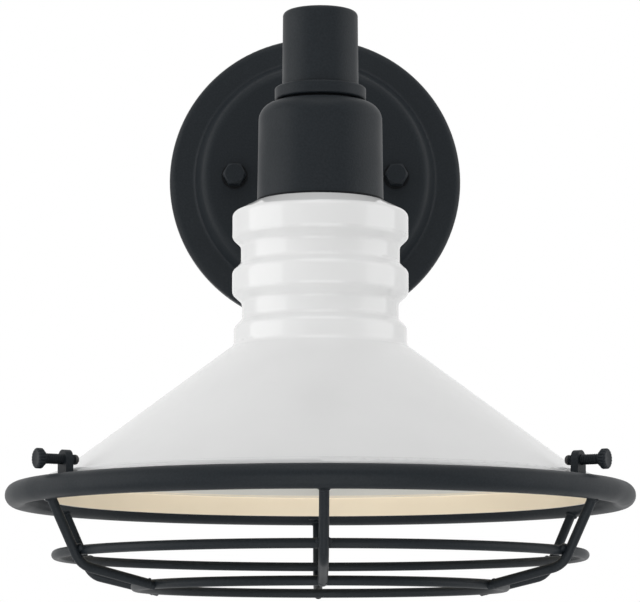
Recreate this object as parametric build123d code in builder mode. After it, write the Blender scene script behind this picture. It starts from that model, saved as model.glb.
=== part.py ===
"""Outdoor wall sconce: round wall canopy, short arm, ribbed conical shade and a wire guard.

Millimetres. The wall is the XZ plane, the light stands out along -Y, and the origin is the
canopy's centre on the wall. The shade hangs on a vertical axis in front of it.
"""

import os
from math import atan2, cos, degrees, pi, radians, sin

from build123d import *

os.makedirs("parts", exist_ok=True)

# Overall layout
reach = 204.0
hub_top_z = 30.7
hub_bottom_z = 1.9
collar_bottom_z = -3.0
shade_top_z = -41.3
flange_top_z = -143.4

# General fits
thread_clearance = 0.05
slip_clearance = 0.3

# Wall gasket and canopy
canopy_radius = 63.5
canopy_sheet = 1.2
gasket_thickness = 2.5
gasket_inner_radius = 55.0
gasket_margin = 0.5
annulus_edge_depth = 8.6
annulus_inner_depth = 10.4
plateau_depth = 20.0
plateau_radius = 48.4
step_foot_radius = 52.4
canopy_edge_round = 3.2
step_foot_round = 2.2
plateau_round = 4.4

# Mounting straps and their fasteners
strap_sheet = 1.6
strap_width = 20.0
box_strap_end = 3.45
stud_strap_end = 9.075
stud_spacing = 69.85
stud_radius = 2.08
stud_back_gap = 0.4
box_slot_spacing = 79.4
box_slot_length = 13.7
box_slot_half_width = 2.2
eyelet_radius = 6.0
eyelet_wall = 0.8
eyelet_flange_radius = 8.2
eyelet_flange = 0.8
nut_across_flats = 8.73
stud_nut_height = 3.2
canopy_stud_hole_radius = 2.5
seal_washer_radius = 5.6
seal_washer_thickness = 0.8
cap_nut_height = 6.7
cap_nut_roof = 1.2
cap_nut_chamfer = 1.1
cap_nut_face_radius = 3.9
ground_screw_z = -22.0
ground_screw_radius = 1.9
ground_screw_head_radius = 4.2
ground_screw_head = 2.6

# Arm
arm_radius = 8.0
arm_wall = 1.5
arm_inner_depth = 12.0
arm_bend_start = 45.0
arm_bend_end = 160.0
arm_entry = 1.8
arm_nut_across_flats = 24.0
arm_nut_height = 4.0
arm_ring_radius = 13.5
arm_ring_height = 5.0
arm_ring_round = 1.6

# Hub, collar, nipple and cup
hub_radius_bottom = 14.2
hub_radius_top = 14.0
hub_wall = 3.3
hub_roof = 4.0
hub_floor = 4.0
hub_edge_round = 1.8
collar_radius = 17.0
collar_edge_round = 0.9
nipple_radius = 5.05
nipple_bore_radius = 3.4
nipple_stand = 3.5
cup_washer_radius = 14.4
cup_washer_thickness = 1.0
cup_radius_top = 22.9
cup_radius_bottom = 23.45
cup_sheet = 1.5
cup_shoulder_round = 6.6
cup_gasket_thickness = 0.8
cup_gasket_width = 3.6
cup_nut_across_flats = 15.0
cup_nut_height = 3.2

# Lamp socket
socket_cap_thickness = 3.0
socket_upper_radius = 16.0
socket_barrel_radius = 18.7
socket_shoulder_z = -34.0
socket_floor_z = -41.0
socket_bottom_z = -66.0
terminal_chamber_radius = 10.0
terminal_chamber_floor_z = -30.0
socket_screw_radius = 1.4
socket_screw_head_radius = 2.6
socket_screw_head = 1.8
socket_screw_length = 11.0
socket_screw_pitch_radius = 12.9
shell_outer_radius = 13.9
shell_wall = 0.5
shell_length = 23.0
shell_lip = 1.0
contact_radius = 4.4
contact_thickness = 1.0
contact_pin_radius = 1.6
contact_pin_length = 4.0
contact_drop = 3.0
shade_ring_radius = 23.0
shade_ring_height = 5.0
lead_radius = 1.0
lead_offset = 1.5
lead_bend_radius = 8.0
lead_wall_gap = 0.6
lead_terminal_depth = 3.4

# Shade
shade_sheet = 1.0
shade_hole_clearance = 0.5
shade_neck_top_radius = 23.85
bulge_radius = 32.6
lower_bulge_radius = 32.0
groove_radius = 29.4
lower_groove_radius = 29.0
shoulder_foot_z = -45.7
first_bulge_end_z = -54.9
first_groove_top_z = -58.0
first_groove_end_z = -64.3
second_bulge_top_z = -67.5
second_bulge_end_z = -75.7
second_groove_top_z = -79.0
second_groove_end_z = -85.2
third_bulge_top_z = -88.3
cone_top_z = -94.9
skirt_radius = 100.9
skirt_height = 8.4
flange_width = 4.1
neck_round = 2.4
cone_round = 3.0
flange_round = 1.6

# Wire guard
guard_gap = 5.6
guard_tube_radius = 4.3
guard_lift = 1.2
wire_radius = 1.75
middle_ring_inset = 14.5
middle_ring_drop = 21.5
bottom_ring_inset = 43.4
bottom_ring_drop = 32.9
rib_azimuths = (-90.0, -30.0, 27.5, 90.0, 152.5, 210.0)
rib_top_inset = 1.2
rib_top_drop = 2.4
rib_corner_outset = 1.1
rib_corner_drop = 5.3
rib_end_outset = 1.0
rib_end_drop = 0.5
rib_bend_round = 9.0
ear_azimuths = (-30.0, -150.0, 90.0)
ear_width = 6.8
ear_thickness = 2.8
ear_setback = 1.5
ear_foot_half_height = 2.4
ear_bite = 0.5

# Guard thumbscrews
screw_radius = 1.85
screw_tip_overlap = 2.2
screw_tip_radius = 1.8
screw_tip_length = 1.6
screw_tip_round = 1.3
screw_tip_gap = 0.85
tip_stem_radius = 0.8
tip_stem_length = 2.0
tip_end_gap = 0.05
knob_standoff = 7.6
knob_thickness = 2.6
knob_radius = 3.6
knob_flute_count = 18
knob_flute_radius = 0.35
knob_neck_radius = 2.5
knob_neck_length = 0.9

# Lamp bulb
bulb_length = 104.0
bulb_globe_radius = 30.0
bulb_glass = 1.2
bulb_cap_radius = 13.0
bulb_cap_wall = 0.6
bulb_cap_length = 22.0
bulb_neck_radius = 12.2
bulb_neck_end = 34.0
bulb_glass_insert = 2.0
bulb_insulator_height = 3.0
bulb_insulator_radius = 8.6
bulb_tip_radius = 4.4
bulb_tip_height = 1.6
bulb_seat_gap = 0.3

# Planes and axes shared by the pieces
wall_axis = Axis((0, 0, 0), (0, -1, 0))
shade_axis = Axis((0, -reach, 0), (0, 0, 1))
shade_section = Plane.XZ.offset(reach)


def wall_section(x=0.0):
    """Upright plane square to the wall, with X running out into the room."""
    return Plane(origin=(x, 0, 0), x_dir=(0, -1, 0), z_dir=(-1, 0, 0))


def facing_out(depth, x=0.0, z=0.0):
    """Plane at a depth in front of the wall, facing out into the room."""
    return Plane(origin=(x, -depth, z), x_dir=(1, 0, 0), z_dir=(0, -1, 0))


def level(z):
    """Level plane across the shade's axis at one height."""
    return Plane.XY.offset(z).move(Location((0, -reach, 0)))


def radial_section(azimuth):
    """Upright plane through the shade's axis, with X running outward."""
    a = radians(azimuth)
    return Plane(origin=(0, -reach, 0), x_dir=(cos(a), sin(a), 0), z_dir=(sin(a), -cos(a), 0))


def radial_face(azimuth, radius, z):
    """Plane square to a spoke of the shade at a radius and height, facing outward."""
    a = radians(azimuth)
    origin = (radius * cos(a), -reach + radius * sin(a), z)
    return Plane(origin=origin, x_dir=(-sin(a), cos(a), 0), z_dir=(cos(a), sin(a), 0))


# Wall gasket: the foam ring that the canopy's edge presses on
with BuildPart() as wall_gasket:
    with BuildSketch(facing_out(0)):
        Circle(canopy_radius - gasket_margin)
        Circle(gasket_inner_radius, mode=Mode.SUBTRACT)
    extrude(amount=gasket_thickness)
wall_gasket.part.label = "wall_gasket"
export_step(wall_gasket.part, "parts/wall_gasket.step")

# Box strap: upright bar with a slot near each end for the outlet box screws
with BuildPart() as box_strap:
    with BuildSketch(facing_out(0)):
        SlotOverall(box_slot_spacing + box_slot_length + 2 * box_strap_end, strap_width, rotation=90)
        Circle(eyelet_radius + thread_clearance, mode=Mode.SUBTRACT)
        with Locations((0, ground_screw_z)):
            Circle(ground_screw_radius + thread_clearance, mode=Mode.SUBTRACT)
        with Locations((0, box_slot_spacing / 2), (0, -box_slot_spacing / 2)):
            SlotOverall(box_slot_length, 2 * box_slot_half_width, rotation=90, mode=Mode.SUBTRACT)
    extrude(amount=strap_sheet)
box_strap.part.label = "box_strap"
export_step(box_strap.part, "parts/box_strap.step")

# Stud strap: level bar that carries the two canopy studs
with BuildPart() as stud_strap:
    with BuildSketch(facing_out(strap_sheet)):
        SlotOverall(stud_spacing + 2 * stud_strap_end, strap_width)
        Circle(eyelet_radius + thread_clearance, mode=Mode.SUBTRACT)
        with Locations((stud_spacing / 2, 0), (-stud_spacing / 2, 0)):
            Circle(stud_radius + thread_clearance, mode=Mode.SUBTRACT)
    extrude(amount=strap_sheet)
stud_strap.part.label = "stud_strap"
export_step(stud_strap.part, "parts/stud_strap.step")

# Strap eyelet: hollow rivet that joins the straps and lets the leads through
strap_front = 2 * strap_sheet
with BuildPart() as strap_eyelet:
    with BuildSketch(facing_out(0)):
        Circle(eyelet_radius)
    extrude(amount=strap_front)
    with BuildSketch(facing_out(strap_front)):
        Circle(eyelet_flange_radius)
    extrude(amount=eyelet_flange)
    with BuildSketch(facing_out(0)):
        Circle(eyelet_radius - eyelet_wall)
    extrude(amount=strap_front + eyelet_flange, mode=Mode.SUBTRACT)
strap_eyelet.part.label = "strap_eyelet"
export_step(strap_eyelet.part, "parts/strap_eyelet.step")

# Ground screw in the box strap
with BuildPart() as ground_screw:
    with BuildSketch(facing_out(0, z=ground_screw_z)):
        Circle(ground_screw_radius)
    extrude(amount=strap_sheet)
    with BuildSketch(facing_out(strap_sheet, z=ground_screw_z)):
        RegularPolygon(ground_screw_head_radius, 6)
    extrude(amount=ground_screw_head)
ground_screw.part.label = "ground_screw"
export_step(ground_screw.part, "parts/ground_screw.step")

# Canopy studs, their lock nuts behind the canopy, and the sealing washers and cap nuts in front
washer_front = plateau_depth + seal_washer_thickness
cap_nut_front = washer_front + cap_nut_height
stud_end = cap_nut_front - cap_nut_roof - slip_clearance

with BuildPart() as canopy_studs:
    with BuildSketch(facing_out(stud_back_gap, x=stud_spacing / 2)):
        Circle(stud_radius)
    extrude(amount=stud_end - stud_back_gap)
    mirror(about=Plane.YZ)
canopy_studs.part.label = "canopy_studs"
export_step(canopy_studs.part, "parts/canopy_studs.step")

with BuildPart() as stud_nuts:
    with BuildSketch(facing_out(strap_front, x=stud_spacing / 2)):
        RegularPolygon(nut_across_flats / 2, 6, major_radius=False)
        Circle(stud_radius + thread_clearance, mode=Mode.SUBTRACT)
    extrude(amount=stud_nut_height)
    mirror(about=Plane.YZ)
stud_nuts.part.label = "stud_nuts"
export_step(stud_nuts.part, "parts/stud_nuts.step")

with BuildPart() as seal_washers:
    with BuildSketch(facing_out(plateau_depth, x=stud_spacing / 2)):
        Circle(seal_washer_radius)
        Circle(stud_radius + thread_clearance, mode=Mode.SUBTRACT)
    extrude(amount=seal_washer_thickness)
    mirror(about=Plane.YZ)
seal_washers.part.label = "seal_washers"
export_step(seal_washers.part, "parts/seal_washers.step")

cap_nut_axis = Axis((stud_spacing / 2, 0, 0), (0, -1, 0))
cap_nut_corner = nut_across_flats / 2 / cos(pi / 6)
with BuildPart() as cap_nuts:
    with BuildSketch(facing_out(washer_front, x=stud_spacing / 2)):
        RegularPolygon(nut_across_flats / 2, 6, major_radius=False)
    extrude(amount=cap_nut_height)
    with BuildSketch(wall_section(stud_spacing / 2)):
        with BuildLine():
            Polyline(
                (washer_front, 0),
                (washer_front, cap_nut_corner),
                (cap_nut_front - cap_nut_chamfer, cap_nut_corner),
                (cap_nut_front, cap_nut_face_radius),
                (cap_nut_front, 0),
                close=True,
            )
        make_face()
    revolve(axis=cap_nut_axis, mode=Mode.INTERSECT)
    with BuildSketch(facing_out(washer_front, x=stud_spacing / 2)):
        Circle(stud_radius + thread_clearance)
    extrude(amount=cap_nut_height - cap_nut_roof, mode=Mode.SUBTRACT)
    mirror(about=Plane.YZ)
cap_nuts.part.label = "cap_nuts"
export_step(cap_nuts.part, "parts/cap_nuts.step")

# Wall canopy: pressed sheet with a rounded edge, a gently domed annulus and a raised plateau
with BuildPart() as wall_canopy:
    with BuildSketch(wall_section()):
        with BuildLine():
            FilletPolyline(
                (gasket_thickness, canopy_radius),
                (annulus_edge_depth, canopy_radius),
                (annulus_inner_depth, step_foot_radius),
                (plateau_depth, plateau_radius),
                (plateau_depth, arm_radius + thread_clearance),
                radius=(canopy_edge_round, step_foot_round, plateau_round),
            )
            offset(amount=canopy_sheet, side=Side.RIGHT)
        make_face()
    revolve(axis=wall_axis)
    with BuildSketch(facing_out(0)):
        with Locations((stud_spacing / 2, 0), (-stud_spacing / 2, 0)):
            Circle(canopy_stud_hole_radius)
    extrude(amount=plateau_depth + canopy_sheet, mode=Mode.SUBTRACT)
wall_canopy.part.label = "wall_canopy"
export_step(wall_canopy.part, "parts/wall_canopy.step")

# Arm: bent tube that leaves the canopy square and rises in a shallow S to the hub
arm_rise = (hub_top_z + hub_bottom_z) / 2
arm_bend_run = arm_bend_end - arm_bend_start
arm_bend_angle = 2 * atan2(arm_rise, arm_bend_run)
arm_bend_radius = arm_bend_run / (2 * sin(arm_bend_angle))
hub_cavity_radius = hub_radius_top - hub_wall
arm_end_depth = reach - hub_cavity_radius + arm_entry


def arm_route(first_depth, last_depth):
    """Lines and arcs of the arm's centre line between two depths, drawn in a wall section."""
    turn = degrees(arm_bend_angle)
    Line((first_depth, 0), (arm_bend_start, 0))
    CenterArc((arm_bend_start, arm_bend_radius), arm_bend_radius, -90, turn)
    CenterArc((arm_bend_end, arm_rise - arm_bend_radius), arm_bend_radius, 90 + turn, -turn)
    Line((arm_bend_end, arm_rise), (last_depth, arm_rise))


with BuildPart() as arm_tube:
    with BuildLine(wall_section()) as arm_line:
        arm_route(arm_inner_depth, arm_end_depth)
    with BuildSketch(facing_out(arm_inner_depth)):
        Circle(arm_radius)
        Circle(arm_radius - arm_wall, mode=Mode.SUBTRACT)
    sweep(path=arm_line.wires()[0])
arm_tube.part.label = "arm_tube"
export_step(arm_tube.part, "parts/arm_tube.step")

# Arm lock nut behind the plateau and arm ring in front of it
with BuildPart() as arm_nut:
    with BuildSketch(facing_out(plateau_depth - canopy_sheet - arm_nut_height)):
        RegularPolygon(arm_nut_across_flats / 2, 6, major_radius=False)
        Circle(arm_radius + thread_clearance, mode=Mode.SUBTRACT)
    extrude(amount=arm_nut_height)
arm_nut.part.label = "arm_nut"
export_step(arm_nut.part, "parts/arm_nut.step")

with BuildPart() as arm_ring:
    with BuildSketch(facing_out(plateau_depth)):
        Circle(arm_ring_radius)
        Circle(arm_radius + thread_clearance, mode=Mode.SUBTRACT)
    extrude(amount=arm_ring_height)
    outer_edges = arm_ring.edges().filter_by(GeomType.CIRCLE).sort_by(Axis.Y)[:2]
    fillet(outer_edges.sort_by(SortBy.RADIUS)[-1], arm_ring_round)
arm_ring.part.label = "arm_ring"
export_step(arm_ring.part, "parts/arm_ring.step")

# Hub: hollow upright barrel with a closed top, bored from behind for the arm
with BuildPart() as hub:
    with BuildSketch(shade_section):
        with BuildLine():
            FilletPolyline(
                (0, hub_top_z),
                (hub_radius_top, hub_top_z),
                (hub_radius_bottom, hub_bottom_z),
                radius=hub_edge_round,
            )
            Polyline((hub_radius_bottom, hub_bottom_z), (0, hub_bottom_z), (0, hub_top_z))
        make_face()
    revolve(axis=shade_axis)
    with BuildSketch(level(hub_bottom_z + hub_floor)):
        Circle(hub_cavity_radius)
    extrude(amount=hub_top_z - hub_bottom_z - hub_floor - hub_roof, mode=Mode.SUBTRACT)
    with BuildSketch(level(hub_bottom_z)):
        Circle(nipple_radius + thread_clearance)
    extrude(amount=hub_floor, mode=Mode.SUBTRACT)
    with BuildSketch(facing_out(reach, z=arm_rise)):
        Circle(arm_radius + thread_clearance)
    extrude(amount=-2 * hub_radius_bottom, mode=Mode.SUBTRACT)
hub.part.label = "hub"
export_step(hub.part, "parts/hub.step")

# Collar under the hub
with BuildPart() as collar:
    with BuildSketch(level(collar_bottom_z)):
        Circle(collar_radius)
        Circle(nipple_radius + thread_clearance, mode=Mode.SUBTRACT)
    extrude(amount=hub_bottom_z - collar_bottom_z)
    fillet(collar.faces().filter_by(GeomType.CYLINDER).sort_by(SortBy.AREA)[-1].edges().filter_by(
        GeomType.CIRCLE), collar_edge_round)
collar.part.label = "collar"
export_step(collar.part, "parts/collar.step")

# Cup washer: the narrow seal that leaves a shadow gap under the collar
cup_top_z = collar_bottom_z - cup_washer_thickness
with BuildPart() as cup_washer:
    with BuildSketch(level(cup_top_z)):
        Circle(cup_washer_radius)
        Circle(nipple_radius + thread_clearance, mode=Mode.SUBTRACT)
    extrude(amount=cup_washer_thickness)
cup_washer.part.label = "cup_washer"
export_step(cup_washer.part, "parts/cup_washer.step")

# Socket cup: drawn shell with a rounded shoulder, open below
cup_bottom_z = shade_top_z + cup_gasket_thickness
with BuildPart() as socket_cup:
    with BuildSketch(shade_section):
        with BuildLine():
            FilletPolyline(
                (nipple_radius + thread_clearance, cup_top_z),
                (cup_radius_top, cup_top_z),
                (cup_radius_bottom, cup_bottom_z),
                radius=cup_shoulder_round,
            )
            offset(amount=cup_sheet, side=Side.RIGHT)
        make_face()
    revolve(axis=shade_axis)
    split(bisect_by=level(cup_bottom_z), keep=Keep.TOP)
socket_cup.part.label = "socket_cup"
export_step(socket_cup.part, "parts/socket_cup.step")

# Cup gasket between the cup's rim and the top of the shade
with BuildPart() as cup_gasket:
    with BuildSketch(level(shade_top_z)):
        Circle(cup_radius_bottom)
        Circle(cup_radius_bottom - cup_gasket_width, mode=Mode.SUBTRACT)
    extrude(amount=cup_gasket_thickness)
cup_gasket.part.label = "cup_gasket"
export_step(cup_gasket.part, "parts/cup_gasket.step")

# Cup nut under the roof of the cup
cup_nut_bottom_z = cup_top_z - cup_sheet - cup_nut_height
with BuildPart() as cup_nut:
    with BuildSketch(level(cup_nut_bottom_z)):
        RegularPolygon(cup_nut_across_flats / 2, 6, major_radius=False)
        Circle(nipple_radius + thread_clearance, mode=Mode.SUBTRACT)
    extrude(amount=cup_nut_height)
cup_nut.part.label = "cup_nut"
export_step(cup_nut.part, "parts/cup_nut.step")

# Threaded nipple: hollow rod that holds hub, collar, cup and socket together
socket_cap_top_z = cup_nut_bottom_z - slip_clearance
socket_cap_bottom_z = socket_cap_top_z - socket_cap_thickness
nipple_top_z = hub_bottom_z + hub_floor + nipple_stand
with BuildPart() as nipple:
    with BuildSketch(level(socket_cap_bottom_z)):
        Circle(nipple_radius)
        Circle(nipple_bore_radius, mode=Mode.SUBTRACT)
    extrude(amount=nipple_top_z - socket_cap_bottom_z)
nipple.part.label = "nipple"
export_step(nipple.part, "parts/nipple.step")

# Socket cap: metal plate screwed on the nipple, with two screws down into the socket
screw_spots = [
    (0, socket_screw_pitch_radius),
    (0, -socket_screw_pitch_radius),
]
with BuildPart() as socket_cap:
    with BuildSketch(level(socket_cap_bottom_z)):
        Circle(socket_upper_radius)
        Circle(nipple_radius + thread_clearance, mode=Mode.SUBTRACT)
        with Locations(*screw_spots):
            Circle(socket_screw_radius + thread_clearance, mode=Mode.SUBTRACT)
    extrude(amount=socket_cap_thickness)
socket_cap.part.label = "socket_cap"
export_step(socket_cap.part, "parts/socket_cap.step")

with BuildPart() as socket_screws:
    with BuildSketch(level(socket_cap_top_z)):
        with Locations(*screw_spots):
            Circle(socket_screw_head_radius)
    extrude(amount=socket_screw_head)
    with BuildSketch(level(socket_cap_top_z)):
        with Locations(*screw_spots):
            Circle(socket_screw_radius)
    extrude(amount=-socket_screw_length)
socket_screws.part.label = "socket_screws"
export_step(socket_screws.part, "parts/socket_screws.step")

# Socket body: porcelain barrel with a terminal chamber above and the lamp bore below
contact_top_z = socket_floor_z + contact_drop
with BuildPart() as socket_body:
    with BuildSketch(level(socket_shoulder_z)):
        Circle(socket_upper_radius)
    extrude(amount=socket_cap_bottom_z - socket_shoulder_z)
    with BuildSketch(level(socket_bottom_z)):
        Circle(socket_barrel_radius)
    extrude(amount=socket_shoulder_z - socket_bottom_z)
    with BuildSketch(level(terminal_chamber_floor_z)):
        Circle(terminal_chamber_radius)
    extrude(amount=socket_cap_bottom_z - terminal_chamber_floor_z, mode=Mode.SUBTRACT)
    with BuildSketch(level(socket_bottom_z)):
        Circle(shell_outer_radius + thread_clearance)
    extrude(amount=socket_floor_z - socket_bottom_z, mode=Mode.SUBTRACT)
    with BuildSketch(level(socket_floor_z)):
        Circle(contact_radius + slip_clearance)
    extrude(amount=contact_drop, mode=Mode.SUBTRACT)
    with BuildSketch(level(contact_top_z)):
        Circle(contact_pin_radius + thread_clearance)
    extrude(amount=contact_pin_length, mode=Mode.SUBTRACT)
    with BuildSketch(level(socket_cap_bottom_z)):
        with Locations(*screw_spots):
            Circle(socket_screw_radius + thread_clearance)
    extrude(amount=-socket_screw_length, mode=Mode.SUBTRACT)
    with BuildSketch(level(terminal_chamber_floor_z)):
        with Locations((lead_offset, 0), (-lead_offset, 0)):
            Circle(lead_radius + thread_clearance)
    extrude(amount=-lead_terminal_depth - slip_clearance, mode=Mode.SUBTRACT)
socket_body.part.label = "socket_body"
export_step(socket_body.part, "parts/socket_body.step")

# Screw shell: thin metal sleeve lining the lamp bore
with BuildPart() as screw_shell:
    with BuildSketch(level(socket_floor_z - shell_length)):
        Circle(shell_outer_radius)
        Circle(shell_outer_radius - shell_wall, mode=Mode.SUBTRACT)
    extrude(amount=shell_length)
    with BuildSketch(level(socket_floor_z - shell_lip)):
        Circle(shell_outer_radius)
        Circle(bulb_insulator_radius + slip_clearance, mode=Mode.SUBTRACT)
    extrude(amount=shell_lip)
screw_shell.part.label = "screw_shell"
export_step(screw_shell.part, "parts/screw_shell.step")

# Centre contact: brass button in the roof of the lamp bore
with BuildPart() as centre_contact:
    with BuildSketch(level(contact_top_z - contact_thickness)):
        Circle(contact_radius)
    extrude(amount=contact_thickness)
    with BuildSketch(level(contact_top_z)):
        Circle(contact_pin_radius)
    extrude(amount=contact_pin_length)
centre_contact.part.label = "centre_contact"
export_step(centre_contact.part, "parts/centre_contact.step")

# Shade ring: nut on the socket barrel that clamps the shade up against the cup
shade_hole_radius = socket_barrel_radius + shade_hole_clearance
shade_ring_top_z = shade_top_z - shade_sheet
with BuildPart() as shade_ring:
    with BuildSketch(level(shade_ring_top_z - shade_ring_height)):
        Circle(shade_ring_radius)
        Circle(socket_barrel_radius + thread_clearance, mode=Mode.SUBTRACT)
    extrude(amount=shade_ring_height)
shade_ring.part.label = "shade_ring"
export_step(shade_ring.part, "parts/shade_ring.step")

# Shade: spun sheet with a ribbed neck, a cone, a small flange and a short skirt
skirt_bottom_z = flange_top_z - skirt_height
with BuildPart() as shade:
    with BuildSketch(shade_section):
        with BuildLine():
            FilletPolyline(
                (shade_hole_radius, shade_top_z),
                (shade_neck_top_radius, shade_top_z),
                (bulge_radius, shoulder_foot_z),
                (bulge_radius, first_bulge_end_z),
                (groove_radius, first_groove_top_z),
                (groove_radius, first_groove_end_z),
                (bulge_radius, second_bulge_top_z),
                (bulge_radius, second_bulge_end_z),
                (lower_groove_radius, second_groove_top_z),
                (lower_groove_radius, second_groove_end_z),
                (lower_bulge_radius, third_bulge_top_z),
                (lower_bulge_radius, cone_top_z),
                (skirt_radius - flange_width, flange_top_z),
                (skirt_radius, flange_top_z),
                (skirt_radius, skirt_bottom_z),
                radius=(flange_round, *9 * [neck_round], cone_round, flange_round, flange_round),
            )
            offset(amount=shade_sheet, side=Side.RIGHT)
        make_face()
    revolve(axis=shade_axis)
shade.part.label = "shade"
export_step(shade.part, "parts/shade.step")

# Guard rings: a stout tube around the skirt and two thin wires below
guard_ring_radius = skirt_radius + guard_gap + guard_tube_radius
guard_ring_z = skirt_bottom_z + guard_lift
middle_ring_radius = guard_ring_radius - middle_ring_inset
middle_ring_z = guard_ring_z - middle_ring_drop
bottom_ring_radius = guard_ring_radius - bottom_ring_inset
bottom_ring_z = guard_ring_z - bottom_ring_drop
with BuildPart() as guard_top_ring:
    with BuildSketch(shade_section):
        with Locations((guard_ring_radius, guard_ring_z)):
            Circle(guard_tube_radius)
    revolve(axis=shade_axis)
guard_top_ring.part.label = "guard_top_ring"
export_step(guard_top_ring.part, "parts/guard_top_ring.step")

with BuildPart() as guard_middle_ring:
    with BuildSketch(shade_section):
        with Locations((middle_ring_radius, middle_ring_z)):
            Circle(wire_radius)
    revolve(axis=shade_axis)
guard_middle_ring.part.label = "guard_middle_ring"
export_step(guard_middle_ring.part, "parts/guard_middle_ring.step")

with BuildPart() as guard_bottom_ring:
    with BuildSketch(shade_section):
        with Locations((bottom_ring_radius, bottom_ring_z)):
            Circle(wire_radius)
    revolve(axis=shade_axis)
guard_bottom_ring.part.label = "guard_bottom_ring"
export_step(guard_bottom_ring.part, "parts/guard_bottom_ring.step")

# Guard ribs: bent wires from the top ring, outside the middle ring, to the outside of the bottom ring
for number, azimuth in enumerate(rib_azimuths, start=1):
    rib_plane = radial_section(azimuth)
    with BuildPart() as rib:
        with BuildLine(rib_plane) as rib_line:
            FilletPolyline(
                (guard_ring_radius - rib_top_inset, guard_ring_z - rib_top_drop),
                (middle_ring_radius + rib_corner_outset, middle_ring_z - rib_corner_drop),
                (bottom_ring_radius + rib_end_outset, bottom_ring_z - rib_end_drop),
                radius=rib_bend_round,
            )
        rib_wire = rib_line.wires()[0]
        with BuildSketch(Plane(origin=rib_wire @ 0, z_dir=rib_wire % 0)):
            Circle(wire_radius)
        sweep(path=rib_wire)
        add(guard_top_ring.part, mode=Mode.SUBTRACT)
        add(guard_middle_ring.part, mode=Mode.SUBTRACT)
        add(guard_bottom_ring.part, mode=Mode.SUBTRACT)
    rib.part.label = f"guard_rib_{number}"
    export_step(rib.part, f"parts/guard_rib_{number}.step")

# Guard ears on short feet, their thumbscrews and the screws' soft tips, which hook over the shade's flange
screw_axis_z = flange_top_z + screw_tip_radius + screw_tip_gap
ear_outer_radius = guard_ring_radius - guard_tube_radius - ear_setback
ear_inner_radius = ear_outer_radius - ear_thickness
ear_bottom_z = guard_ring_z - ear_foot_half_height
screw_tip_end_radius = skirt_radius - screw_tip_overlap
screw_end_radius = screw_tip_end_radius + screw_tip_length + tip_end_gap
knob_inner_radius = ear_outer_radius + knob_standoff

for number, azimuth in enumerate(ear_azimuths, start=1):
    with BuildPart() as ear:
        with BuildSketch(radial_face(azimuth, ear_inner_radius, screw_axis_z)):
            Circle(ear_width / 2)
            with Locations((0, (ear_bottom_z - screw_axis_z) / 2)):
                Rectangle(ear_width, screw_axis_z - ear_bottom_z)
            Circle(screw_radius + thread_clearance, mode=Mode.SUBTRACT)
        extrude(amount=ear_thickness)
        with BuildSketch(radial_face(azimuth, ear_outer_radius, guard_ring_z)):
            Rectangle(ear_width, 2 * ear_foot_half_height)
        extrude(amount=ear_setback + ear_bite)
        add(guard_top_ring.part, mode=Mode.SUBTRACT)
    ear.part.label = f"guard_ear_{number}"
    export_step(ear.part, f"parts/guard_ear_{number}.step")

    with BuildPart() as thumbscrew:
        with BuildSketch(radial_face(azimuth, screw_end_radius, screw_axis_z)):
            Circle(screw_radius)
        extrude(amount=knob_inner_radius - screw_end_radius)
        with BuildSketch(radial_face(azimuth, knob_inner_radius - knob_neck_length, screw_axis_z)):
            Circle(knob_neck_radius)
        extrude(amount=knob_neck_length)
        with BuildSketch(radial_face(azimuth, knob_inner_radius, screw_axis_z)):
            Circle(knob_radius)
            with PolarLocations(knob_radius, knob_flute_count):
                Circle(knob_flute_radius, mode=Mode.SUBTRACT)
        extrude(amount=knob_thickness)
        with BuildSketch(radial_face(azimuth, screw_end_radius, screw_axis_z)):
            Circle(tip_stem_radius + thread_clearance)
        extrude(amount=tip_stem_length + slip_clearance, mode=Mode.SUBTRACT)
    thumbscrew.part.label = f"thumbscrew_{number}"
    export_step(thumbscrew.part, f"parts/thumbscrew_{number}.step")

    with BuildPart() as screw_tip:
        with BuildSketch(radial_face(azimuth, screw_tip_end_radius, screw_axis_z)):
            Circle(screw_tip_radius)
        extrude(amount=screw_tip_length)
        spoke = Axis((0, -reach, screw_axis_z), radial_face(azimuth, 0, 0).z_dir)
        fillet(screw_tip.edges().filter_by(GeomType.CIRCLE).sort_by(spoke)[0], screw_tip_round)
        with BuildSketch(radial_face(azimuth, screw_tip_end_radius + screw_tip_length, screw_axis_z)):
            Circle(tip_stem_radius)
        extrude(amount=tip_stem_length)
    screw_tip.part.label = f"screw_tip_{number}"
    export_step(screw_tip.part, f"parts/screw_tip_{number}.step")

# Lamp leads: two wires from the wall through arm, hub and nipple to the socket
for name, side in (("line_lead", -1), ("neutral_lead", 1)):
    with BuildPart() as lead:
        with BuildLine(wall_section(side * lead_offset)) as lead_line:
            arm_route(lead_wall_gap, reach - lead_bend_radius)
            turn_centre = (reach - lead_bend_radius, arm_rise - lead_bend_radius)
            CenterArc(turn_centre, lead_bend_radius, 90, -90)
            Line((reach, turn_centre[1]), (reach, terminal_chamber_floor_z - lead_terminal_depth))
        lead_wire = lead_line.wires()[0]
        with BuildSketch(Plane(origin=lead_wire @ 0, z_dir=lead_wire % 0)):
            Circle(lead_radius)
        sweep(path=lead_wire)
    lead.part.label = name
    export_step(lead.part, f"parts/{name}.step")

# Lamp bulb: tip contact, insulator, screw cap and frosted glass
bulb_top_z = contact_top_z - contact_thickness - bulb_seat_gap
bulb_insulator_top_z = bulb_top_z - bulb_tip_height
bulb_cap_top_z = bulb_insulator_top_z - bulb_insulator_height
bulb_cap_bottom_z = bulb_cap_top_z - bulb_cap_length
bulb_bottom_z = bulb_top_z - bulb_length
bulb_globe_z = bulb_bottom_z + bulb_globe_radius

with BuildPart() as bulb_contact:
    with BuildSketch(level(bulb_insulator_top_z)):
        Circle(bulb_tip_radius)
    extrude(amount=bulb_tip_height, taper=20)
bulb_contact.part.label = "bulb_contact"
export_step(bulb_contact.part, "parts/bulb_contact.step")

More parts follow.
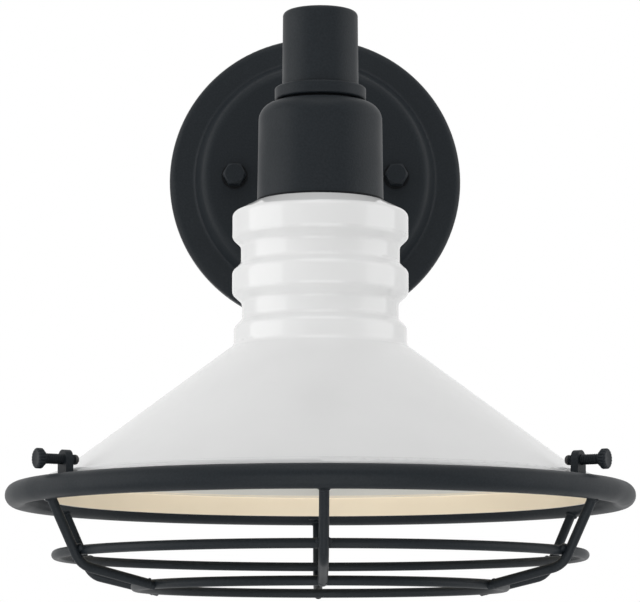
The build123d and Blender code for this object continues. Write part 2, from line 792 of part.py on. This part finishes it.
with BuildPart() as bulb_insulator:
    with BuildSketch(level(bulb_cap_top_z)):
        Circle(bulb_insulator_radius)
    with BuildSketch(level(bulb_insulator_top_z)):
        Circle(bulb_tip_radius)
    loft()
bulb_insulator.part.label = "bulb_insulator"
export_step(bulb_insulator.part, "parts/bulb_insulator.step")

with BuildPart() as bulb_cap:
    with BuildSketch(shade_section):
        with BuildLine():
            FilletPolyline(
                (0, bulb_cap_top_z),
                (bulb_cap_radius, bulb_cap_top_z),
                (bulb_cap_radius, bulb_cap_bottom_z),
                radius=bulb_cap_wall * 2,
            )
            offset(amount=bulb_cap_wall, side=Side.RIGHT)
        make_face()
    revolve(axis=shade_axis)
bulb_cap.part.label = "bulb_cap"
export_step(bulb_cap.part, "parts/bulb_cap.step")


def bulb_outline(inset):
    """Glass outline from the screw cap down to the tip of the globe, moved in by an inset."""
    neck = bulb_neck_radius - inset
    globe = bulb_globe_radius - inset
    straight = Line(
        (neck, bulb_cap_bottom_z + bulb_glass_insert),
        (neck, bulb_top_z - bulb_neck_end),
    )
    Spline(straight @ 1, (globe, bulb_globe_z), tangents=((0, -1), (0, -1)))
    CenterArc((0, bulb_globe_z), globe, 0, -90)


with BuildPart() as bulb_globe:
    with BuildSketch(shade_section):
        with BuildLine():
            bulb_outline(0)
            bulb_outline(bulb_glass)
            Line((0, bulb_bottom_z), (0, bulb_bottom_z + bulb_glass))
            Line(
                (bulb_neck_radius, bulb_cap_bottom_z + bulb_glass_insert),
                (bulb_neck_radius - bulb_glass, bulb_cap_bottom_z + bulb_glass_insert),
            )
        make_face()
    revolve(axis=shade_axis)
bulb_globe.part.label = "bulb_globe"
export_step(bulb_globe.part, "parts/bulb_globe.step")
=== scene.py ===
import math

import bpy
from mathutils import Matrix, Vector


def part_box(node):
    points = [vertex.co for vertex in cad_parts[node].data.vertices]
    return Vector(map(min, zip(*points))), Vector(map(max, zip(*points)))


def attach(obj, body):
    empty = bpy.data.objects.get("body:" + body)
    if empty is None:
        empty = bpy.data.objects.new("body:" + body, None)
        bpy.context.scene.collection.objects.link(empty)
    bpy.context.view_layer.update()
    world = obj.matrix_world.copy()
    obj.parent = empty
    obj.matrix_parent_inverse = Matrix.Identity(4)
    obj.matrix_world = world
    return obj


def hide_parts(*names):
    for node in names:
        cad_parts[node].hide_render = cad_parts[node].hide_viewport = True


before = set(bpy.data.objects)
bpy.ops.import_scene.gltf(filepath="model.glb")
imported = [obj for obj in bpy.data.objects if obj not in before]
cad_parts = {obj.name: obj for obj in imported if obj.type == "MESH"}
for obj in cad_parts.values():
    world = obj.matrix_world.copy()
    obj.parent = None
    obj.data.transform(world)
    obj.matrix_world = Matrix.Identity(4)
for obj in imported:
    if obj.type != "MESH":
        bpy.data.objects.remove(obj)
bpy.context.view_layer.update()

MM = 0.001

# The shade hangs on a plumb line in front of the wall; its cone ends in a flange with a short skirt.
SHADE_X = 0.0
SHADE_Y = -0.204
CONE_TOP_Z = -0.0949
FLANGE_Z = -0.1436

# Guard joints, as (radius, height) about the plumb line, and where ribs and ears stand.
RIB_AZIMUTHS = [-90, -30, 27.5, 90, 152.5, 210]
EAR_AZIMUTHS = {1: -30, 2: -150, 3: 90}
RIB_TOP_JOINT = (108.9 * MM, -154.4 * MM)
RIB_MIDDLE_JOINT = (98.0 * MM, -171.4 * MM)
RIB_END_JOINT = (70.6 * MM, -183.4 * MM)
EAR_JOINT = (105.9 * MM, -147.6 * MM)
RIB_LEAN = (-0.447, -0.894)
RIB_END_LEAN = (-0.975, -0.222)
WIRE_RADIUS = 1.75 * MM


# Shader building blocks

# Most values of a noise lie between these two.
NOISE_LOW = 0.3
NOISE_HIGH = 0.7


def new_material(name):
    """A node material, with its tree and its surface shader."""
    material = bpy.data.materials.new(name)
    material.use_nodes = True
    tree = material.node_tree
    return material, tree, tree.nodes["Principled BSDF"]


def object_point(tree):
    """The shaded point in the object's own frame."""
    return tree.nodes.new("ShaderNodeTexCoord").outputs["Object"]


def noise(tree, scale, detail=3.0):
    """Soft cloudy variation with about `scale` patches to the metre."""
    texture = tree.nodes.new("ShaderNodeTexNoise")
    texture.inputs["Scale"].default_value = scale
    texture.inputs["Detail"].default_value = detail
    tree.links.new(object_point(tree), texture.inputs["Vector"])
    return texture.outputs["Fac"]


def spread(tree, source, low, high):
    """Carries the middle of a noise's range over to low...high."""
    ranged = tree.nodes.new("ShaderNodeMapRange")
    ranged.inputs["From Min"].default_value = NOISE_LOW
    ranged.inputs["From Max"].default_value = NOISE_HIGH
    ranged.inputs["To Min"].default_value = low
    ranged.inputs["To Max"].default_value = high
    tree.links.new(source, ranged.inputs["Value"])
    return ranged.outputs["Result"]


def tint(tree, source, dark, light):
    """Two neighbouring colours, mixed by a noise."""
    ramp = tree.nodes.new("ShaderNodeValToRGB")
    ramp.color_ramp.elements[0].position = NOISE_LOW
    ramp.color_ramp.elements[0].color = (*dark, 1)
    ramp.color_ramp.elements[1].position = NOISE_HIGH
    ramp.color_ramp.elements[1].color = (*light, 1)
    tree.links.new(source, ramp.inputs["Fac"])
    return ramp.outputs["Color"]


def relief(tree, source, distance, strength):
    """A bumpy surface `distance` deep."""
    bump = tree.nodes.new("ShaderNodeBump")
    bump.inputs["Strength"].default_value = strength
    bump.inputs["Distance"].default_value = distance
    tree.links.new(source, bump.inputs["Height"])
    return bump.outputs["Normal"]


def blend(tree, factor, first, second):
    """The first colour where the factor is 0, the second where it is 1."""
    mix = tree.nodes.new("ShaderNodeMix")
    mix.data_type = "RGBA"
    tree.links.new(factor, mix.inputs["Factor"])
    tree.links.new(first, mix.inputs["A"])
    tree.links.new(second, mix.inputs["B"])
    return mix.outputs["Result"]


def climb(tree, heights, values):
    """A value that runs from the first to the second between two heights."""
    split = tree.nodes.new("ShaderNodeSeparateXYZ")
    tree.links.new(object_point(tree), split.inputs["Vector"])
    ranged = tree.nodes.new("ShaderNodeMapRange")
    ranged.inputs["From Min"].default_value, ranged.inputs["From Max"].default_value = heights
    ranged.inputs["To Min"].default_value, ranged.inputs["To Max"].default_value = values
    tree.links.new(split.outputs["Z"], ranged.inputs["Value"])
    return ranged.outputs["Result"]


def faces_axis(tree):
    """1 where the surface looks towards the shade's plumb line, and 0 where it looks away."""
    from_axis = tree.nodes.new("ShaderNodeVectorMath")
    from_axis.operation = "SUBTRACT"
    from_axis.inputs[1].default_value = (SHADE_X, SHADE_Y, 0)
    outward = tree.nodes.new("ShaderNodeVectorMath")
    outward.operation = "MULTIPLY"
    outward.inputs[1].default_value = (1, 1, 0)
    surface = tree.nodes.new("ShaderNodeNewGeometry")
    product = tree.nodes.new("ShaderNodeVectorMath")
    product.operation = "DOT_PRODUCT"
    inward = tree.nodes.new("ShaderNodeMath")
    inward.operation = "LESS_THAN"
    inward.inputs[1].default_value = -0.001
    links = tree.links
    links.new(object_point(tree), from_axis.inputs[0])
    links.new(from_axis.outputs["Vector"], outward.inputs[0])
    links.new(outward.outputs["Vector"], product.inputs[0])
    links.new(surface.outputs["True Normal"], product.inputs[1])
    links.new(product.outputs["Value"], inward.inputs[0])
    return inward.outputs["Value"]


# Finishes


def textured_black(name):
    """Satin black powder coat with a fine sandy texture."""
    material, tree, shader = new_material(name)
    grain = noise(tree, 1300, 2)
    clouds = noise(tree, 60)
    links = tree.links
    coat = tint(tree, grain, (0.0083, 0.0112, 0.0140), (0.0122, 0.0156, 0.0190))
    links.new(coat, shader.inputs["Base Color"])
    links.new(spread(tree, clouds, 0.42, 0.52), shader.inputs["Roughness"])
    links.new(relief(tree, grain, 0.12 * MM, 0.35), shader.inputs["Normal"])
    shader.inputs["Specular IOR Level"].default_value = 0.14
    return material


def gloss_enamel(name):
    """White enamel, glossiest on the neck; inside, painted shade darkens the cone and painted warm lamp
    light turns the skirt cream.
    """
    material, tree, shader = new_material(name)
    clouds = noise(tree, 35)
    outer = tint(tree, clouds, (0.785, 0.787, 0.785), (0.805, 0.807, 0.805))
    # Painted shade: the cone's inside is a darker copy of the white enamel.
    painted_shade_cone = tint(tree, clouds, (0.620, 0.618, 0.582), (0.640, 0.638, 0.602))
    # Painted light: the skirt's inside is cream, standing in for the bulb's warm glow on the white enamel.
    painted_glow_skirt = tint(tree, clouds, (0.955, 0.840, 0.655), (0.975, 0.860, 0.675))
    # The inside of the shade takes the painted shade above the flange and the painted glow below it.
    painted_inside = blend(tree, climb(tree, (FLANGE_Z - 1 * MM, FLANGE_Z), (1, 0)), painted_shade_cone, painted_glow_skirt)
    links = tree.links
    links.new(blend(tree, faces_axis(tree), outer, painted_inside), shader.inputs["Base Color"])
    below_neck = climb(tree, (CONE_TOP_Z - 2 * MM, CONE_TOP_Z), (1, 0))
    gloss = blend(tree, below_neck, spread(tree, clouds, 0.07, 0.12), spread(tree, clouds, 0.20, 0.25))
    links.new(gloss, shader.inputs["Roughness"])
    links.new(relief(tree, noise(tree, 220, 2), 0.05 * MM, 0.25), shader.inputs["Normal"])
    return material


def plain_finish(name, dark, light, roughness, grain, depth, metal=0.0, specular=0.5):
    """A finish whose colour, gloss and surface all vary a little with one grain."""
    material, tree, shader = new_material(name)
    texture = noise(tree, grain, 4)
    links = tree.links
    links.new(tint(tree, texture, dark, light), shader.inputs["Base Color"])
    links.new(spread(tree, texture, *roughness), shader.inputs["Roughness"])
    links.new(relief(tree, texture, depth, 0.3), shader.inputs["Normal"])
    shader.inputs["Metallic"].default_value = metal
    shader.inputs["Specular IOR Level"].default_value = specular
    return material


def frosted_bulb(name):
    """Frosted lamp glass, lit warm and dim; the neck glows less than the globe."""
    material, tree, shader = new_material(name)
    clouds = noise(tree, 90)
    links = tree.links
    links.new(tint(tree, clouds, (0.50, 0.475, 0.42), (0.56, 0.535, 0.48)), shader.inputs["Base Color"])
    links.new(spread(tree, clouds, 0.36, 0.46), shader.inputs["Roughness"])
    links.new(relief(tree, noise(tree, 2500, 2), 0.04 * MM, 0.3), shader.inputs["Normal"])
    links.new(tint(tree, clouds, (1.0, 0.78, 0.48), (1.0, 0.81, 0.52)), shader.inputs["Emission Color"])
    low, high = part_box("bulb_globe")
    widest = low.z + (high.x - low.x) / 2
    globe_glow, neck_glow = 0.42, 0.16
    glow = climb(tree, (widest, high.z), (globe_glow, neck_glow))
    links.new(glow, shader.inputs["Emission Strength"])
    return material


# Finishes that differ only in colour, gloss and grain
LOOKS = {
    "zinc_steel": {
        "dark": (0.50, 0.51, 0.53), "light": (0.62, 0.63, 0.65),
        "roughness": (0.28, 0.40), "grain": 300, "depth": 0.03 * MM, "metal": 1,
    },
    "brass": {
        "dark": (0.66, 0.46, 0.18), "light": (0.76, 0.56, 0.24),
        "roughness": (0.22, 0.34), "grain": 250, "depth": 0.03 * MM, "metal": 1,
    },
    "green_zinc": {
        "dark": (0.04, 0.20, 0.07), "light": (0.07, 0.28, 0.10),
        "roughness": (0.30, 0.42), "grain": 400, "depth": 0.03 * MM, "metal": 0.5,
    },
    "bulb_shell": {
        "dark": (0.66, 0.66, 0.67), "light": (0.78, 0.78, 0.79),
        "roughness": (0.20, 0.32), "grain": 350, "depth": 0.03 * MM, "metal": 1,
    },
    "solder": {
        "dark": (0.48, 0.48, 0.50), "light": (0.60, 0.60, 0.62),
        "roughness": (0.35, 0.50), "grain": 700, "depth": 0.06 * MM, "metal": 1,
    },
    "black_rubber": {
        "dark": (0.005, 0.006, 0.007), "light": (0.009, 0.010, 0.011),
        "roughness": (0.62, 0.78), "grain": 800, "depth": 0.1 * MM, "specular": 0.1,
    },
    "porcelain": {
        "dark": (0.74, 0.71, 0.64), "light": (0.80, 0.77, 0.71),
        "roughness": (0.14, 0.22), "grain": 120, "depth": 0.04 * MM,
    },
    "black_phenolic": {
        "dark": (0.008, 0.007, 0.006), "light": (0.014, 0.012, 0.011),
        "roughness": (0.25, 0.35), "grain": 200, "depth": 0.03 * MM,
    },
    "black_insulation": {
        "dark": (0.010, 0.010, 0.011), "light": (0.016, 0.016, 0.017),
        "roughness": (0.42, 0.55), "grain": 500, "depth": 0.04 * MM,
    },
    "white_insulation": {
        "dark": (0.70, 0.69, 0.66), "light": (0.78, 0.77, 0.74),
        "roughness": (0.42, 0.55), "grain": 500, "depth": 0.04 * MM,
    },
    "black_nylon": {
        "dark": (0.010, 0.010, 0.011), "light": (0.018, 0.018, 0.019),
        "roughness": (0.45, 0.60), "grain": 600, "depth": 0.05 * MM,
    },
}

FINISHES = {name: plain_finish(name, **look) for name, look in LOOKS.items()}
FINISHES["black_coat"] = textured_black("black_coat")
FINISHES["white_enamel"] = gloss_enamel("white_enamel")
FINISHES["frosted_glass"] = frosted_bulb("frosted_glass")


# Which finish each node wears

WORN = {
    "wall_gasket": "black_rubber",
    "box_strap": "zinc_steel",
    "stud_strap": "zinc_steel",
    "strap_eyelet": "zinc_steel",
    "ground_screw": "green_zinc",
    "canopy_studs": "zinc_steel",
    "stud_nuts": "zinc_steel",
    "seal_washers": "black_rubber",
    "arm_nut": "zinc_steel",
    "cup_washer": "black_rubber",
    "cup_gasket": "black_rubber",
    "cup_nut": "zinc_steel",
    "nipple": "zinc_steel",
    "socket_cap": "zinc_steel",
    "socket_screws": "brass",
    "socket_body": "porcelain",
    "screw_shell": "brass",
    "centre_contact": "brass",
    "shade_ring": "black_phenolic",
    "shade": "white_enamel",
    "line_lead": "black_insulation",
    "neutral_lead": "white_insulation",
    "bulb_contact": "solder",
    "bulb_insulator": "black_phenolic",
    "bulb_cap": "bulb_shell",
    "bulb_globe": "frosted_glass",
}
for number in (1, 2, 3):
    WORN[f"screw_tip_{number}"] = "black_nylon"


def wear(obj, slot):
    """Gives a piece one finish, all over."""
    obj.data.materials.clear()
    obj.data.materials.append(FINISHES[slot])


def smooth(obj, degrees=32):
    """Rounded faces shade smoothly; edges sharper than this stay crisp."""
    obj.data.shade_smooth()
    obj.data.set_sharp_from_angle(angle=math.radians(degrees))


for name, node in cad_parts.items():
    wear(node, WORN.get(name, "black_coat"))
    smooth(node)


# Pieces with more detail than the solids carry


def skin(name, rings, slot, body, close_ends=True):
    """A piece skinned over rings of points that all have the same count."""
    count = len(rings[0])
    points = [point for ring in rings for point in ring]
    faces = []
    for row in range(len(rings) - 1):
        for step in range(count):
            after = (step + 1) % count
            low, high = row * count, (row + 1) * count
            faces.append((low + step, low + after, high + after, high + step))
    if close_ends:
        faces.append(tuple(range(count - 1, -1, -1)))
        faces.append(tuple(range(len(points) - count, len(points))))
    return piece(name, points, faces, slot, body)


def piece(name, points, faces, slot, body):
    """A dressed mesh that rides a body."""
    mesh = bpy.data.meshes.new(name)
    mesh.from_pydata(points, [], faces)
    obj = bpy.data.objects.new(name, mesh)
    bpy.context.scene.collection.objects.link(obj)
    wear(obj, slot)
    smooth(obj, 40)
    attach(obj, body)
    return obj


def turned(profile, count, axes):
    """Rings round an axis from (height, radius) pairs; a radius may be a function of the angle."""
    rings = []
    for height, radius in profile:
        ring = []
        for step in range(count):
            angle = 2 * math.pi * step / count
            reach = radius(angle) if callable(radius) else radius
            ring.append(axes @ Vector((reach * math.cos(angle), reach * math.sin(angle), height)))
        rings.append(ring)
    return rings


def thread(start, end, major, minor, pitch, steps=10):
    """Profile of a screw thread, fading out to the minor radius at both ends."""
    rows = round((end - start) / pitch * steps)

    def row(height):
        fade = min(1, (height - start) / pitch, (end - height) / pitch)

        def radius(angle):
            phase = (height / pitch - angle / (2 * math.pi)) % 1
            crest = min(1, 1.3 * (1 - abs(2 * phase - 1)))
            return minor + (major - minor) * crest * fade

        return radius

    heights = [start + (end - start) * step / rows for step in range(rows + 1)]
    return [(height, row(height)) for height in heights]


def spoke(azimuth, radius, height):
    """Axes at a point round the plumb line: Z outward, Y up."""
    a = math.radians(azimuth)
    turn = Matrix(((-math.sin(a), 0, math.cos(a)), (math.cos(a), 0, math.sin(a)), (0, 1, 0))).to_4x4()
    centre = Vector((SHADE_X + radius * math.cos(a), SHADE_Y + radius * math.sin(a), height))
    return Matrix.Translation(centre) @ turn


def thumbscrew(number, azimuth):
    """Threaded shank with a knurled knob."""
    low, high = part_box("thumbscrew_3")
    knob_radius = (high.z - low.z) / 2
    axes = spoke(azimuth, low.y - SHADE_Y, (low.z + high.z) / 2)
    length = high.y - low.y
    knob_foot = length - 2.6 * MM
    neck_foot = knob_foot - 0.9 * MM
    neck_radius = 2.5 * MM
    neck_edge = 0.2 * MM
    knob_edge = 0.4 * MM
    groove_pairs, groove_depth = 9, 0.3 * MM

    def knurl(depth):
        return lambda angle: knob_radius - depth - groove_depth * math.cos(groove_pairs * angle) ** 8

    profile = thread(0, neck_foot, major=1.85 * MM, minor=1.55 * MM, pitch=0.7 * MM)
    profile += [(neck_foot + 0.05 * MM, neck_radius - neck_edge)]
    profile += [(neck_foot + neck_edge, neck_radius), (knob_foot, neck_radius)]
    profile += [(knob_foot + 0.02 * MM, knurl(knob_edge)), (knob_foot + knob_edge, knurl(0))]
    profile += [(length - knob_edge, knurl(0)), (length - 0.05 * MM, knurl(knob_edge))]
    profile += [(length, knob_radius - 1.0 * MM), (length - 0.15 * MM, knob_radius - 1.3 * MM)]
    screw = skin(f"thumbscrew_{number}_cut", turned(profile, 90, axes), "black_coat", f"thumbscrew_{number}")
    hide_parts(f"thumbscrew_{number}")


def studs():
    """The two threaded studs that carry the canopy."""
    low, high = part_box("canopy_studs")
    radius = (high.z - low.z) / 2
    for side, x in (("left", low.x + radius), ("right", high.x - radius)):
        axes = Matrix.Translation((x, high.y, 0)) @ Matrix.Rotation(math.pi / 2, 4, "X")
        profile = thread(0, high.y - low.y, major=radius, minor=0.84 * radius, pitch=0.79 * MM)
        rod = skin(f"canopy_stud_{side}", turned(profile, 36, axes), "zinc_steel", "fixture")
        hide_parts("canopy_studs")


def lamp_cap():
    """Screw cap of the bulb with its rolled thread."""
    low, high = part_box("bulb_cap")
    axes = Matrix.Translation((SHADE_X, SHADE_Y, 0))
    crest, root, pitch = 13.0 * MM, 12.2 * MM, 3.63 * MM
    lip, shoulder = 11.8 * MM, 10.4 * MM
    start, end = low.z + 2.0 * MM, high.z - 2.5 * MM
    rows = 60

    def row(height):
        fade = max(0, min(1, 2 * (height - start) / pitch, 2 * (end - height) / pitch))

        def radius(angle):
            wave = 0.5 + 0.5 * math.cos(2 * math.pi * height / pitch - angle)
            return root + (crest - root) * wave * fade

        return radius

    heights = [start + (end - start) * step / rows for step in range(rows + 1)]
    profile = [(low.z + 0.4 * MM, lip - 0.2 * MM), (low.z, lip)]
    profile += [(low.z, root + 0.5 * MM), (low.z + 0.8 * MM, root)]
    profile += [(height, row(height)) for height in heights]
    profile += [(high.z - 1.2 * MM, root), (high.z - 0.3 * MM, shoulder + 1.0 * MM), (high.z, shoulder)]
    cap = skin("bulb_cap_rolled", turned(profile, 72, axes), "bulb_shell", "bulb")
    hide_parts("bulb_cap")


def bead_ring(azimuth, joint, lean, radius, thickness):
    """Uneven weld bead round a wire that leans in the upright plane of its azimuth."""
    axes = spoke(azimuth, *joint)
    along = (axes.to_3x3() @ Vector((0, lean[1], lean[0]))).normalized()
    sideways = axes.to_3x3() @ Vector((1, 0, 0))
    across = along.cross(sideways)
    steps, corners = 32, 10
    rings = []
    for step in range(steps):
        turn = 2 * math.pi * step / steps
        outward = sideways * math.cos(turn) + across * math.sin(turn)
        size = thickness * (1 + 0.22 * math.sin(5 * turn + azimuth) + 0.12 * math.sin(9 * turn))
        ring = []
        for corner in range(corners):
            lift = 2 * math.pi * corner / corners
            point = outward * (radius + size * math.cos(lift)) + along * size * math.sin(lift)
            ring.append(axes.translation + point)
        rings.append(ring)
    return rings + rings[:1]


def bead_drop(azimuth, joint, size):
    """Lumpy weld drop with half sizes across, up and outward."""
    axes = spoke(azimuth, *joint)
    rows, steps = 14, 24
    rings = []
    for row in range(1, rows):
        polar = math.pi * row / rows
        ring = []
        for step in range(steps):
            turn = 2 * math.pi * step / steps
            lump = 1 + 0.07 * math.sin(3 * turn + 4 * polar + azimuth)
            across = size[0] * math.cos(polar)
            ring.append(axes @ Vector((
                across,
                size[1] * lump * math.sin(polar) * math.cos(turn),
                size[2] * lump * math.sin(polar) * math.sin(turn),
            )))
        rings.append(ring)
    return rings


def guard_welds():
    """Weld beads where ribs and ears meet the rings."""
    for number, azimuth in enumerate(RIB_AZIMUTHS, start=1):
        top = bead_ring(azimuth, RIB_TOP_JOINT, RIB_LEAN, WIRE_RADIUS, 0.55 * MM)
        end = bead_ring(azimuth, RIB_END_JOINT, RIB_END_LEAN, WIRE_RADIUS - 0.25 * MM, 0.45 * MM)
        skin(f"weld_rib_top_{number}", top, "black_coat", "fixture", close_ends=False)
        skin(f"weld_rib_end_{number}", end, "black_coat", "fixture", close_ends=False)
        middle = bead_drop(azimuth, RIB_MIDDLE_JOINT, (2.9 * MM, 1.5 * MM, 1.3 * MM))
        skin(f"weld_rib_middle_{number}", middle, "black_coat", "fixture")
    for number, azimuth in EAR_AZIMUTHS.items():
        drop = bead_drop(azimuth, EAR_JOINT, (3.1 * MM, 1.3 * MM, 1.3 * MM))
        skin(f"weld_ear_{number}", drop, "black_coat", "fixture")


for number, azimuth in EAR_AZIMUTHS.items():
    thumbscrew(number, azimuth)
studs()
lamp_cap()
guard_welds()


# Studio


def softbox(name, place, target, size, watts):
    """A large soft lamp, turned to the object."""
    lamp = bpy.data.lights.new(name, "AREA")
    lamp.shape = "RECTANGLE"
    lamp.size, lamp.size_y = size
    lamp.energy = watts
    holder = bpy.data.objects.new(name, lamp)
    holder.location = place
    holder.rotation_euler = (Vector(target) - Vector(place)).to_track_quat("-Z", "Y").to_euler()
    bpy.context.scene.collection.objects.link(holder)


def shown(tree):
    """1 for what the camera sees, directly or by way of metal and glass."""
    path = tree.nodes.new("ShaderNodeLightPath")
    mirrored = larger(tree, path.outputs["Is Glossy Ray"], path.outputs["Is Transmission Ray"])
    return larger(tree, path.outputs["Is Camera Ray"], mirrored)


def larger(tree, first, second):
    """The larger of two values."""
    pick = tree.nodes.new("ShaderNodeMath")
    pick.operation = "MAXIMUM"
    tree.links.new(first, pick.inputs[0])
    tree.links.new(second, pick.inputs[1])
    return pick.outputs["Value"]


def white_studio(fill):
    """Plain white as seen and as mirrored, with a gentler white as the light it gives."""
    world = bpy.data.worlds.new("studio")
    world.use_nodes = True
    tree = world.node_tree
    fill_light = tree.nodes["Background"]
    fill_light.inputs["Color"].default_value = (1, 1, 1, 1)
    fill_light.inputs["Strength"].default_value = fill
    seen = tree.nodes.new("ShaderNodeBackground")
    seen.inputs["Color"].default_value = (1, 1, 1, 1)
    seen.inputs["Strength"].default_value = 1
    mix = tree.nodes.new("ShaderNodeMixShader")
    tree.links.new(shown(tree), mix.inputs["Fac"])
    tree.links.new(fill_light.outputs["Background"], mix.inputs[1])
    tree.links.new(seen.outputs["Background"], mix.inputs[2])
    tree.links.new(mix.outputs["Shader"], tree.nodes["World Output"].inputs["Surface"])
    bpy.context.scene.world = world


def pale_floor(height, reach, seen_glow):
    """A floor far below the light, seen nearly as white as the backdrop."""
    mesh = bpy.data.meshes.new("floor")
    corners = [(-reach, -reach), (reach, -reach), (reach, reach), (-reach, reach)]
    mesh.from_pydata([(x, y, height) for x, y in corners], [], [(0, 1, 2, 3)])
    floor = bpy.data.objects.new("floor", mesh)
    bpy.context.scene.collection.objects.link(floor)
    material, tree, shader = new_material("floor_paint")
    clouds = noise(tree, 3)
    tree.links.new(tint(tree, clouds, (0.84, 0.84, 0.84), (0.88, 0.88, 0.88)), shader.inputs["Base Color"])
    tree.links.new(spread(tree, clouds, 0.7, 0.8), shader.inputs["Roughness"])
    lift = tree.nodes.new("ShaderNodeMapRange")
    lift.inputs["To Max"].default_value = seen_glow
    tree.links.new(shown(tree), lift.inputs["Value"])
    tree.links.new(lift.outputs["Result"], shader.inputs["Emission Strength"])
    mesh.materials.append(material)


def camera():
    """A long lens a little below the shade, looking slightly up."""
    lens = bpy.data.cameras.new("camera")
    lens.lens = 171.7
    lens.sensor_width = 36
    holder = bpy.data.objects.new("camera", lens)
    holder.location = (-0.0131, -1.3225, -0.2222)
    gaze = Vector((0.01159, 1, 0.12881))
    holder.rotation_euler = gaze.to_track_quat("-Z", "Y").to_euler()
    bpy.context.scene.collection.objects.link(holder)
    bpy.context.scene.camera = holder


white_studio(fill=0.35)
middle = (SHADE_X, SHADE_Y, -0.09)
softbox("left_softbox", (-1.5, -0.5, 0.0), middle, (1.6, 2.0), 15)
softbox("right_softbox", (1.5, -0.3, 0.1), middle, (1.4, 2.0), 10)
softbox("front_softbox", (0.0, -2.1, -0.8), middle, (2.0, 1.2), 15)
softbox("top_softbox", (0.0, -1.0, 1.7), middle, (1.4, 1.4), 10.5)
softbox("low_softbox", (0.0, -1.1, -1.7), middle, (1.2, 0.8), 8)
pale_floor(height=-4.5, reach=30, seen_glow=0.64)
camera()
bpy.context.scene.view_settings.view_transform = "Standard"
